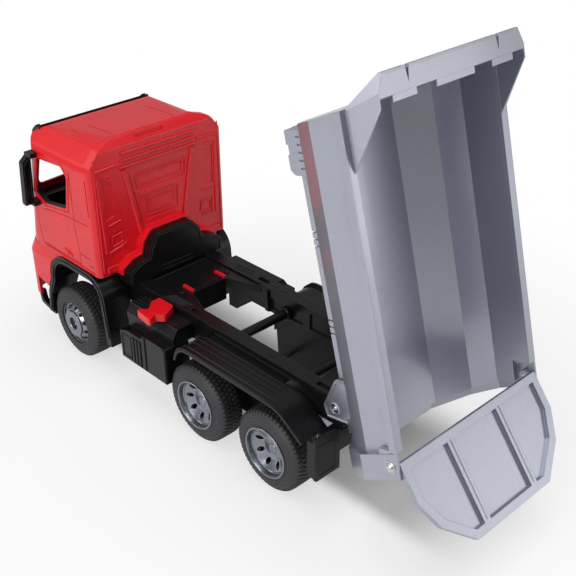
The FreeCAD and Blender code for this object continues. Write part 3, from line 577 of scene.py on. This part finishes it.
rubber = plastic("tyre_plastic", TYRE_GREY, (0.09, 0.09, 0.095, 1), 0.55)
rim_paint = plastic("rim_plastic", RIM_SILVER, (0.62, 0.64, 0.70, 1), 0.22, flakes=0.18,
                    metallic=0.95, wear_and_highlight=0.60)
steel = plastic("axle_steel", (0.42, 0.42, 0.43, 1), (0.6, 0.6, 0.6, 1), 0.30, metallic=1.0)
dress(steel, "axle_front", "axle_middle", "axle_last")

TYRE_HALF_SECTION = [(25.0, 0.0), (25.0, 13.9), (25.9, 14.9), (28.0, 14.95), (28.3, 14.5),
                     (28.9, 14.5), (29.2, 14.9), (31.0, 14.75), (31.3, 14.3), (31.9, 14.25),
                     (32.2, 14.6), (34.2, 14.2), (34.5, 13.8), (35.1, 13.7), (35.4, 14.0),
                     (37.6, 13.0), (39.4, 11.6), (40.7, 9.4), (41.0, 3.4)]
section = TYRE_HALF_SECTION + [(r, -c) for r, c in reversed(TYRE_HALF_SECTION[1:])]
wheel_axis = from_inside(0, 0, 0)
LOOSE = Matrix.Scale(MM, 4)

one_tyre = Shape()
one_tyre.turned(LOOSE @ wheel_axis, section, TURN_STEPS)
across_tread = LOOSE @ plane((0, 0, 0), (0, 1, 0), (0, 0, 1), (1, 0, 0))
turn_each = 2 * math.pi / LUG_COUNT
for flip, start in ((1, 0.0), (-1, 0.5)):
    lug = Shape()
    lug.plate(Matrix.Rotation(start * turn_each, 4, "Y") @ across_tread,
              [(flip * y, z) for y, z in LUG_OUTLINE], -LUG_HALF, LUG_HALF, 0.35)
    one_tyre.take(repeated(lug, LUG_COUNT, rubber, turn=(0, turn_each, 0)))
for y, start in BLOCK_ROWS:
    block = Shape()
    block.plate(Matrix.Rotation(start * turn_each, 4, "Y") @ across_tread,
                box_outline(y - BLOCK_WIDE, y + BLOCK_WIDE, 40.2, 41.9),
                -BLOCK_HALF, BLOCK_HALF, 0.35)
    one_tyre.take(repeated(block, LUG_COUNT, rubber, turn=(0, turn_each, 0)))
tyre_mesh = one_tyre.mesh("one_tyre")

for axle, x in AXLE_XS.items():
    for (side_name, side), hand in zip(SIDES, HANDS):
        middle = Matrix.Translation((x, hand * TYRE_MIDDLE_Y, TYRE_R))
        fitted = Shape()
        fitted.take(tyre_mesh, TRUCK @ middle @ Matrix.Scale(1 / MM, 4))
        tyre = fitted.piece("tyre_%s_%s_lugged" % (axle, side_name), rubber, axle + "_wheels",
                            "tyre", 30)
        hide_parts("tyre_%s_%s" % (axle, side_name))

RIM_BARREL = [(0, 78.1), (3.05, 78.1), (3.05, 62), (6.5, 62), (6.5, 77.5)]
REAR_RIM = RIM_BARREL + [(11.4, 76.6), (20.4, 82.0), (23.2, 82.4), (23.2, 78.6), (25.05, 78.6),
                         (25.05, 89.4), (26.2, 89.4), (26.2, 90.5), (25.8, 91.0), (24.8, 91.0),
                         (24.4, 90.3), (24.0, 85.6), (23.3, 84.6), (22.2, 85.0), (13.4, 79.8),
                         (12.4, 79.4), (11.6, 79.3), (5.2, 80.0), (4.8, 80.8), (0, 80.8)]
FRONT_RIM = RIM_BARREL + [(6.5, 84.4), (14.6, 88.6), (20.6, 82.0), (22.9, 81.6), (22.9, 78.6),
                          (25.05, 78.6), (25.05, 86.8), (24.4, 86.8), (23.6, 84.2), (22.7, 83.4),
                          (21.9, 83.7), (17.1, 89.3), (16.4, 89.5), (16.2, 89.0), (15.9, 89.0),
                          (15.6, 91.0), (15.0, 91.4), (7.8, 91.4), (7.1, 90.8), (6.6, 86.0),
                          (6.0, 85.8), (0, 85.8)]
# holes: count, distance from the axle, half length, half width
REAR_HOLES = (8, 16.9, 3.5, 2.5)
FRONT_HOLES = (11, 19.5, 2.5, 2.4)
HOLE_POINTS = 16
# turn (degrees), section, holes
RIMS = {"front": (-14, FRONT_RIM, FRONT_HOLES),
        "middle": (0, REAR_RIM, REAR_HOLES),
        "last": (-16, REAR_RIM, REAR_HOLES)}
for axle, x in AXLE_XS.items():
    rim_turn, profile, (hole_count, hole_r, half_long, half_wide) = RIMS[axle]
    one_hole = Shape()
    angles = [2 * math.pi * k / HOLE_POINTS for k in range(HOLE_POINTS)]
    one_hole.plate(LOOSE, [(hole_r + half_long * math.cos(angle), half_wide * math.sin(angle))
                           for angle in angles], 70, 96, 0.01)
    holes = Shape()
    holes.take(repeated(one_hole, hole_count, rim_paint, turn=(0, 0, 2 * math.pi / hole_count)))
    rim = Shape()
    rim.turned(LOOSE, profile, TURN_STEPS)
    one_rim = cut_out(rim.mesh("one_rim"), holes)
    pair = Shape()
    for side_name, side in SIDES:
        wheel_face = side @ plane((x, 0, TYRE_R), (-1, 0, 0), (0, 0, 1), (0, 1, 0))
        spin = Matrix.Rotation(math.radians(rim_turn), 4, "Z")
        pair.take(one_rim, TRUCK @ wheel_face @ spin @ Matrix.Scale(1 / MM, 4))
    rims = pair.piece("rims_%s_dished" % axle, rim_paint, axle + "_wheels", "rim_plastic", 30)
    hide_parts("rims_" + axle)

# ---- Boxes, steps and mudguards along the frame -----------------------------------------------
# Black moulded shells clipped to the rails, open below and inward, with grooved tops and ribbed
# sides; one long mudguard over each pair of rear wheels, with a rolled lip; flaps behind them.
dress(black, "side_deck_left", "side_deck_right", "rear_fender_left", "rear_fender_right",
      "mudflaps")
BOX_FACE_Y = 89.7
BOX_IN_Y = 58.0
BOX_SKIN_Y = 87.2
BOX_BELOW_Z = 42.0
BOX_ROOM_TOP_Z = 83.5
STEP_ROOM_TOP_Z = 78.0
STEP_ROOM_X = (82, 108)
LID_Z = 103.0
FENDER_LINE = [(27.0, 84.5), (25.6, 91.0), (21.8, 97.4), (16.2, 101.6), (9.5, 103.0),
               (-104.0, 103.0), (-115.5, 101.3), (-125.4, 97.0), (-134.0, 91.6),
               (-151.8, 80.6)]
for side_name, side in SIDES:
    ground = TRUCK @ side @ from_above(0, 0, 0)
    box_room = Shape()
    box_room.plate(ground, box_outline(45.5, 85, BOX_IN_Y, BOX_SKIN_Y), BOX_BELOW_Z,
                   BOX_ROOM_TOP_Z, 0.1)
    carved("storage_box_" + side_name, box_room, "storage_box_shell_" + side_name, black,
           "truck")
    step_room = Shape()
    step_room.plate(ground, box_outline(*STEP_ROOM_X, BOX_IN_Y, 76), BOX_BELOW_Z,
                    BOX_ROOM_TOP_Z, 0.1)
    step_room.plate(ground, box_outline(*STEP_ROOM_X, 75, BOX_SKIN_Y), BOX_BELOW_Z,
                    STEP_ROOM_TOP_Z, 0.1)
    carved("side_step_" + side_name, step_room, "side_step_shell_" + side_name, black,
           "truck")
    box = Shape()
    face = TRUCK @ side @ from_left(0, BOX_FACE_Y, 0)
    for low, high in ((43.8, 48.4), (77.6, 82.4)):
        box.plate(face, box_outline(low, high, 44.4, 84.6), -0.3, 1.2, 0.5)
    slat = Shape()
    slat.plate(face, box_outline(86.0, 89.4, 44.4, 75.6), -0.3, 1.2, 0.5)
    box.take(repeated(slat, 3, black, (5.4, 0, 0)))
    box.rib(face, box_outline(103, 118, 47, 73), 1.2, 0.7, True)
    lid = TRUCK @ side @ from_above(0, 0, LID_Z)
    groove = Shape()
    groove.rib(lid, [(45.5, 56.5), (118.5, 56.5)], 1.2, 0.7)
    box.take(repeated(groove, 4, black, (0, 4.2, 0)))
    box.piece("box_ribs_" + side_name, black, "truck", "black_plastic")

    guard = Shape()
    guard.rib(TRUCK @ side @ from_left(0, 87.8, 0), FENDER_LINE, 2.6, 3.9, sink=0, chamfer=1.1)
    guard.rib(TRUCK @ side @ from_left(0, 84.0, 0), FENDER_LINE, 2.2, 1.5, sink=0, chamfer=0.9)
    ridge = Shape()
    ridge.rib(TRUCK @ side @ from_left(0, 61.6, 0), FENDER_LINE[2:-1], 2.4, 1.5, sink=0,
              chamfer=0.5)
    guard.take(repeated(ridge, 3, black, (0, 6.6, 0)))
    guard.piece("mudguard_lip_" + side_name, black, "truck", "black_plastic")

    flap = Shape()
    rear_face = TRUCK @ side @ from_behind(-167.0, 0, 0)
    flap.rib(rear_face, [(64, 50.5), (85, 50.5), (85, 84), (64, 82)], 0.9, 0.4, True)
    flap.piece("mudflap_frame_" + side_name, black, "truck", "black_plastic")

# ---- Release lever and bed catches ------------------------------------------------------------
# Red moulded pieces on the black frame: a lever on the left-hand deck that frees the bed, and
# two catches that hold it down, each with a small screw beside it.
RED = (0.70, 0.0060, 0.014, 1)
# Paler colour for red edges: part rubbed wear, part painted highlight.
RED_RUB_AND_HIGHLIGHT = (0.80, 0.06, 0.06, 1)
red = plastic("red_gloss_plastic", RED, RED_RUB_AND_HIGHLIGHT, 0.27, {"Specular IOR Level": 0.50})
dress(red, "release_lever", "bed_catches")

# ---- Engine cover and front mudguards ---------------------------------------------------------
# A stepped black cover over the engine, behind the cab, and black arches over the front wheels
# with a looped step at the foot of each.
dress(black, "engine_hump", "front_guard_left", "front_guard_right", "front_steps")
COVER_BACK_X = 133.0
COVER_LINE = [(59.5, 113), (59.5, 124), (47.5, 131.5), (34, 133.5), (30.5, 146), (21, 157.5)]
ARCH_Y = 88.5
ARCH_LINE = [(147, 52), (151.6, 88), (153, 97.5), (158.2, 107.4), (168.0, 114.4),
             (178, 116.5), (219, 116.5), (235.0, 113.6), (245.4, 104.6), (249.4, 92),
             (249.6, 86), (259.4, 63), (263.6, 39)]
cover = Shape()
cover_face = TRUCK @ from_behind(COVER_BACK_X, 0, 0)
cover.rib(cover_face, COVER_LINE + [(-y, z) for y, z in reversed(COVER_LINE)], 1.4, 0.9)
cover.rib(cover_face, box_outline(-20, 20, 116, 121), 1.0, 0.9, True)
slot_bar = Shape()
slot_bar.rib(cover_face, [(-16, 117), (-16, 120)], 1.4, 0.8)
cover.take(repeated(slot_bar, 7, black, (0, 5.33, 0)))
for side_name, side in SIDES:
    cover.rib(TRUCK @ side @ from_left(0, ARCH_Y, 0), ARCH_LINE, 2.6, 0.9)
cover.piece("engine_cover_lines", black, "truck", "black_plastic")

# ---- Cab --------------------------------------------------------------------------------------
# One glossy red shell with open windows. The doors, handles, roof slot and the panelled back
# wall are moulded in: sunk panels and fine sunk lines for the joins, and low raised bars.
CAB_SIDE_Y = 86.5
CAB_BACK_X = 154.0
CAB_TOP_Z = 267.5
ROOF_REAR = (161, 0, 264.5)
ROOF_FALL = math.atan(6.0 / 119.4)
ROOF_LANES = ((7, 62, 39), (1, 60, 58))
# sunk lines on a door: path, width, depth
DOOR_JOINS = (([(191.5, 232), (191.5, 166), (187.5, 139.8), (170, 138.6)], 0.9, 0.9),
              ([(268.5, 232), (270.5, 178), (262.5, 127)], 0.9, 0.9),
              ([(187.7, 138.8), (187.7, 126.6), (261.4, 126.6)], 0.9, 0.9),
              ([(162, 131), (172, 131)], 1.0, 0.8))
# raised bars on half of the back wall, and on a door: path, width, height, chamfer
BACK_BARS = (([(44.5, 232), (43.5, 228), (28.5, 153)], 5.2, 2.2, 1.1),
             ([(38, 226), (25, 162)], 1.6, 0.9, 0.5),
             ([(76.8, 231), (74.0, 147)], 4.4, 1.4, 0.7),
             ([(74.6, 231.6), (60.5, 231.0)], 1.8, 1.2, 0.5),
             ([(69.5, 176.5), (53.5, 179.5)], 2.0, 1.1, 0.5),
             ([(71.5, 146.5), (54, 150)], 1.8, 1.1, 0.5),
             ([(79.5, 239.5), (51, 240.5)], 2.6, 1.8, 0.9),
             ([(80.2, 126), (80.2, 252)], 1.4, 1.0, 0.5))
DOOR_BARS = (([(211.5, 135), (203.5, 130)], 1.8, 1.3, 0.5),
             ([(217.5, 135), (209.5, 130)], 1.8, 1.3, 0.5),
             ([(250, 170.5), (206.5, 176.5), (168, 178.2)], 1.6, 0.7, 0.4),
             ([(163, 124), (258, 124)], 1.8, 0.9, 0.3))
# frames set in the sunk panels
INNER_FRAMES = ([(-18, 190.5), (18, 190.5), (16.5, 178), (-16.5, 178)],
                [(-29, 209), (29, 209), (30, 221), (-30, 221)])
OUTER_FRAME = [(66, 163), (54, 165), (52.4, 155), (65.6, 152)]
WINDOW_LINE = [(252.2, 232.4), (206.0, 236.2), (193.4, 224.4), (201.6, 182.6),
               (245.6, 175.6), (267.2, 187.4)]
cab_cuts = Shape()
back_wall = TRUCK @ from_behind(CAB_BACK_X, 0, 0)
cab_roof = TRUCK @ from_above(0, 0, CAB_TOP_Z)
cab_cuts.rib(cab_roof, [(157.5, -12), (157.5, 25)], 4.2, 1, sink=6.6, chamfer=0.1)
for y in (-30, 8, 31):
    cab_cuts.rib(cab_roof, [(161.8, y), (165.2, y)], 1.1, 1, sink=0.8, chamfer=0.1)
roof_slope = TRUCK @ plane(ROOF_REAR, (math.cos(ROOF_FALL), 0, -math.sin(ROOF_FALL)),
                           (0, 1, 0), (math.sin(ROOF_FALL), 0, math.cos(ROOF_FALL)))
for (side_name, side), hand in zip(SIDES, HANDS):
    door = TRUCK @ side @ from_left(0, CAB_SIDE_Y, 0)
    cab_cuts.rib(door, [(162, 190), (162, 231)], 1.5, 1, sink=1.3, chamfer=0.1)
    for path, width, depth in DOOR_JOINS:
        cab_cuts.rib(door, path, width, 1, sink=depth)
    for start, end, out in ROOF_LANES:
        cab_cuts.rib(roof_slope, [(start, hand * out), (end, hand * out)], 0.9, 1, sink=0.8,
                     chamfer=0.1)
    half_back = back_wall @ Matrix.Scale(hand, 4, (1, 0, 0))
    cab_cuts.plate(half_back, [(72.8, 227), (62.5, 225), (60, 186.5), (71.2, 183)], -1.2, 1, 0.1)
    cab_cuts.plate(half_back, [(69, 166.5), (51, 169.5), (49, 152), (68.4, 148)], -1.0, 1, 0.1)
cab_cuts.plate(back_wall, [(-30, 203.5), (30, 203.5), (33, 206.5), (34.5, 222.5), (32, 225.5),
                           (-32, 225.5), (-34.5, 222.5), (-33, 206.5)], -1.3, 1, 0.1)
cab_cuts.plate(back_wall, [(-21.5, 169), (21.5, 169), (22.5, 195.5), (-22.5, 195.5)], -1.3, 1,
               0.1)
carved("cab_shell", cab_cuts, "cab_panelled", red, "truck")

cab_lines = Shape()
for low, half in ((235.5, 49), (242.8, 48), (250.2, 46)):
    cab_lines.rib(back_wall, [(-half, low), (half, low)], 3.0, 1.9, chamfer=0.9)
cab_lines.rib(back_wall, [(27.5, 199.5), (-27.5, 199.5)], 2.0, 1.0, chamfer=0.5)
cab_lines.rib(back_wall, [(-19, 172.8), (19, 172.8)], 1.4, 0.2, sink=1.6)
for path in INNER_FRAMES:
    cab_lines.rib(back_wall, path, 1.2, 0.0, True, sink=1.6, chamfer=0.4)
for (side_name, side), hand in zip(SIDES, HANDS):
    half_back = back_wall @ Matrix.Scale(hand, 4, (1, 0, 0))
    for path, width, height, chamfer in BACK_BARS:
        cab_lines.rib(half_back, path, width, height, chamfer=chamfer)
    cab_lines.rib(half_back, OUTER_FRAME, 1.2, 0.2, True, sink=1.6, chamfer=0.4)
    cab_lines.plate(half_back, box_outline(60, 76, 123.5, 131), -0.3, 1.6, 0.6)
    door = TRUCK @ side @ from_left(0, CAB_SIDE_Y, 0)
    for path, width, height, chamfer in DOOR_BARS:
        cab_lines.rib(door, path, width, height, chamfer=chamfer)
    cab_lines.rib(door, WINDOW_LINE, 1.6, 0.8, True, chamfer=0.5)
cab_lines.piece("cab_raised_lines", red, "truck", "red_plastic")

# ---- Bumper, grille, headlights, visor, mirrors, cabin and seats ------------------------------
# The red bumper wraps the nose and carries two pale lamps. The black grille is slatted. The
# visor and mirrors are black and clip to the shell, over a black cabin tub with two seats,
# whose black linings stand inside the doors and cap their sills.
dress(red, "bumper")
dress(black, "grille", "sun_visor", "mirror_left", "mirror_right", "cab_interior", "seats")
lamp_white = plastic("lamp_pale_plastic", (0.52, 0.53, 0.56, 1), (0.7, 0.7, 0.72, 1), 0.16,
                     {"Coat Weight": 0.8, "Coat Roughness": 0.05})
dress(lamp_white, "headlights")

NOSE_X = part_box("grille")[1][0] / MM - FRAME_X
NOSE_LEAN = 0.168
BOW_R = 350.0
BOW_STEP = 8.6
SLAT_PITCH = 8.0
slats = Shape()
slat = Shape()
slat.rib(TRUCK @ from_above(NOSE_X - NOSE_LEAN * 6 - 0.7, 0, 133),
         [(-(BOW_STEP * k) ** 2 / (2 * BOW_R), BOW_STEP * k) for k in range(-5, 6)], 2.8, 3.4,
         sink=0, chamfer=0.8)
slats.take(repeated(slat, 5, black, (-NOSE_LEAN * SLAT_PITCH, 0, SLAT_PITCH)))
slats.piece("grille_slats", black, "truck", "black_plastic")

DOOR_IN_Y = 81.4
linings = Shape()
for side_name, side in SIDES:
    door_inside = TRUCK @ side @ from_left(0, DOOR_IN_Y, 0)
    linings.plate(door_inside, [(199, 176.3), (264.5, 176.3), (266, 187.2), (263.5, 187.8),
                                (245.8, 178.4), (205, 184.9), (199, 186)], 0, 2.2, 0.3)
    linings.rib(door_inside, [(205.5, 186.0), (245.7, 179.6), (262.4, 188.6)], 1.3, 5.0,
                sink=0, chamfer=0.3)
linings.piece("door_sill_linings", black, "truck", "black_plastic")

MIRROR_FOOT = (262.5, 0, 173)
MIRROR_UP = (-0.110, 0, 0.994)
MIRROR_OUT = (-0.994, 0, -0.110)
face_lines = Shape()
for side_name, side in SIDES:
    back_of_mirror = TRUCK @ side @ plane(MIRROR_FOOT, (0, 1, 0), MIRROR_UP, MIRROR_OUT)
    face_lines.rib(back_of_mirror, [(93.0, 4), (99.6, 4), (99.6, 50), (93.0, 58)], 0.8, 0.5, True)
face_lines.piece("mirror_frames", black, "truck", "black_plastic")

# ---- Tipping bed ------------------------------------------------------------------------------
# Silver-grey metallic plastic under a clear coat: a three-walled body, a guard plate over the
# cab, rims along the top and a collar round the rear end. Beams, feet and hinge brackets hang
# below its floor, and two domed pins hold the tailgate.
SILVER = (0.365, 0.38, 0.445, 1)
# Paler colour for silver edges: part rubbed wear, part painted highlight.
SILVER_RUB_AND_HIGHLIGHT = (0.74, 0.76, 0.82, 1)
HINGE_X = -158.0
HINGE_Z = 105.0
TIPPED = math.radians(75.5)
BED = TRUCK @ Matrix.Translation((HINGE_X, 0, HINGE_Z)) @ Matrix.Rotation(-TIPPED, 4, "Y")
RIM_TOP_V = 104.5
FOOT_OUT_Y = 62.0
FOOT_PITCH = 6.4
BEAM_OUT_Y = 52.0
BEAM_PITCH = 6.1
BEAM_SLOT_US = (150.2, 71.6)
BRACKET_OUT_Y = 56.6
GUARD_TOP_V = 134.0
PIN_U = -11.5
PIN_V = 95.5
silver = plastic("silver_flake_plastic", SILVER, SILVER_RUB_AND_HIGHLIGHT, 0.34,
                 {"Coat Weight": 0.8, "Coat Roughness": 0.10}, flakes=0.16, metallic=0.86,
                 wear_and_highlight=0.25)
dress(silver, "bed_shell", "headboard", "canopy", "bed_collar", "bed_rims", "hinge_brackets")


def along_bed(pitch):
    """A step along the bed, as the truck's own millimetres."""
    return tuple(BED.to_3x3() @ Vector((pitch, 0, 0)) / MM)


bed_lines = Shape()
foot_slots = Shape()
beam_slots = Shape()
for side_name, side in SIDES:
    rim_top = BED @ side @ from_above(0, 0, RIM_TOP_V)
    bed_lines.rib(rim_top, [(4, 91.9), (270, 91.9)], 1.2, 0.0, sink=0.3, chamfer=0.2)
    foot_side = BED @ side @ from_left(0, FOOT_OUT_Y, 0)
    one_slot = Shape()
    one_slot.rib(foot_side, [(219, 19.6), (219, 40)], 1.3, 1, sink=1.6, chamfer=0.1)
    foot_slots.take(repeated(one_slot, 5, silver, along_bed(FOOT_PITCH)))
    foot_slots.plate(foot_side, box_outline(229.5, 238, -6, 9.4), -40, 5, 0.1)
    beam_side = BED @ side @ from_left(0, BEAM_OUT_Y, 0)
    for u in BEAM_SLOT_US:
        one_slot = Shape()
        one_slot.rib(beam_side, [(u, 6), (u, 15)], 1.6, 1, sink=2.2, chamfer=0.1)
        beam_slots.take(repeated(one_slot, 3, silver, along_bed(BEAM_PITCH)))
    ear = BED @ side @ from_left(0, BRACKET_OUT_Y, 0)
    bed_lines.turned(ear, [(4.6, -0.3), (6.4, -0.3), (6.4, 0.6), (6.0, 0.9), (4.6, 0.9)], 32)
carved("bed_rests", foot_slots, "bed_feet_slotted", silver, "bed")
carved("bed_beams", beam_slots, "bed_beams_slotted", silver, "bed")

guard_top = BED @ from_above(0, 0, GUARD_TOP_V)
for low, high in ((-69, -43), (-22, 22), (43, 69)):
    bed_lines.plate(guard_top, box_outline(271.5, 278.5, low, high), -2.4, -0.9, 0.4)
bed_lines.rib(guard_top, [(292.6, -74), (292.6, 74)], 0.8, 0.0, sink=0.2, chamfer=0.1)
for side_name, side in SIDES:
    bed_lines.plate(BED @ side @ from_left(0, 88.3, 0),
                    [(-2.6, 85.4), (3.2, 85.4), (3.2, 97.6), (1.0, 97.6)], 0, 4.4, 0.2)
    bed_lines.rib(BED @ side @ from_left(0, BRACKET_OUT_Y, 0),
                  [(27.4, 24), (27.4, 8), (1.2, -11.6), (-9.0, -9.8), (-10.6, 14)], 2.0, 1.2,
                  chamfer=0.5)
inner_wall = BED @ from_inside(0, 85.0, 0)
bed_lines.turned(inner_wall @ Matrix.Translation((8, 92, 0)),
                 [(0, -0.3), (1.8, -0.3), (1.8, 0.8), (1.3, 1.2), (0, 1.2)], 24)
bed_lines.piece("bed_raised_lines", silver, "bed", "silver_plastic")

bright_metal = plastic("pin_metal", (0.62, 0.61, 0.58, 1), (0.75, 0.75, 0.72, 1), 0.18,
                       metallic=1.0)
dress(bright_metal, "gate_pins")
washers = Shape()
for side_name, side in SIDES:
    pin = BED @ side @ from_left(PIN_U, 93.0, PIN_V)
    washers.turned(pin, [(4.3, -0.2), (5.6, -0.2), (5.6, 0.5), (5.2, 0.8), (4.3, 0.8)], 40)
washers.piece("gate_pin_washers", bright_metal, "bed", "pin_metal")

screws = Shape()
for side_name, side in SIDES:
    end = TRUCK @ side @ from_left(HINGE_X, 55.4, HINGE_Z)
    screws.turned(end, [(0, 0), (2.6, 0), (2.6, 0.9), (1.9, 1.5), (1.0, 1.6), (0.8, 1.1),
                        (0, 1.1)], 32)
screws.piece("hinge_screws", bright_metal, "truck", "pin_metal")

# ---- Tailgate ---------------------------------------------------------------------------------
# A shallow silver tray with two upright ribs, hung from two domed pins at its top corners. It
# swings free, and its edges are paler, part wear and part painted highlight.
OPENED = math.radians(96.9)
GATE_LEAN = math.radians(16.0)
GATE_FACE = 9.4
GATE = (BED @ Matrix.Translation((PIN_U, 0, PIN_V))
        @ Matrix.Rotation(OPENED + GATE_LEAN, 4, "Y"))
dress(silver, "tailgate")
gate_lines = Shape()
gate_face = GATE @ from_behind(-GATE_FACE, 0, 0)
for y in (-32.6, 32.6):
    gate_lines.rib(gate_face, [(y, -6), (y, -78)], 2.2, 0.0, sink=0.3, chamfer=0.3)
gate_lines.piece("tailgate_rib_lines", silver, "tailgate", "silver_plastic")

low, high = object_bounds()
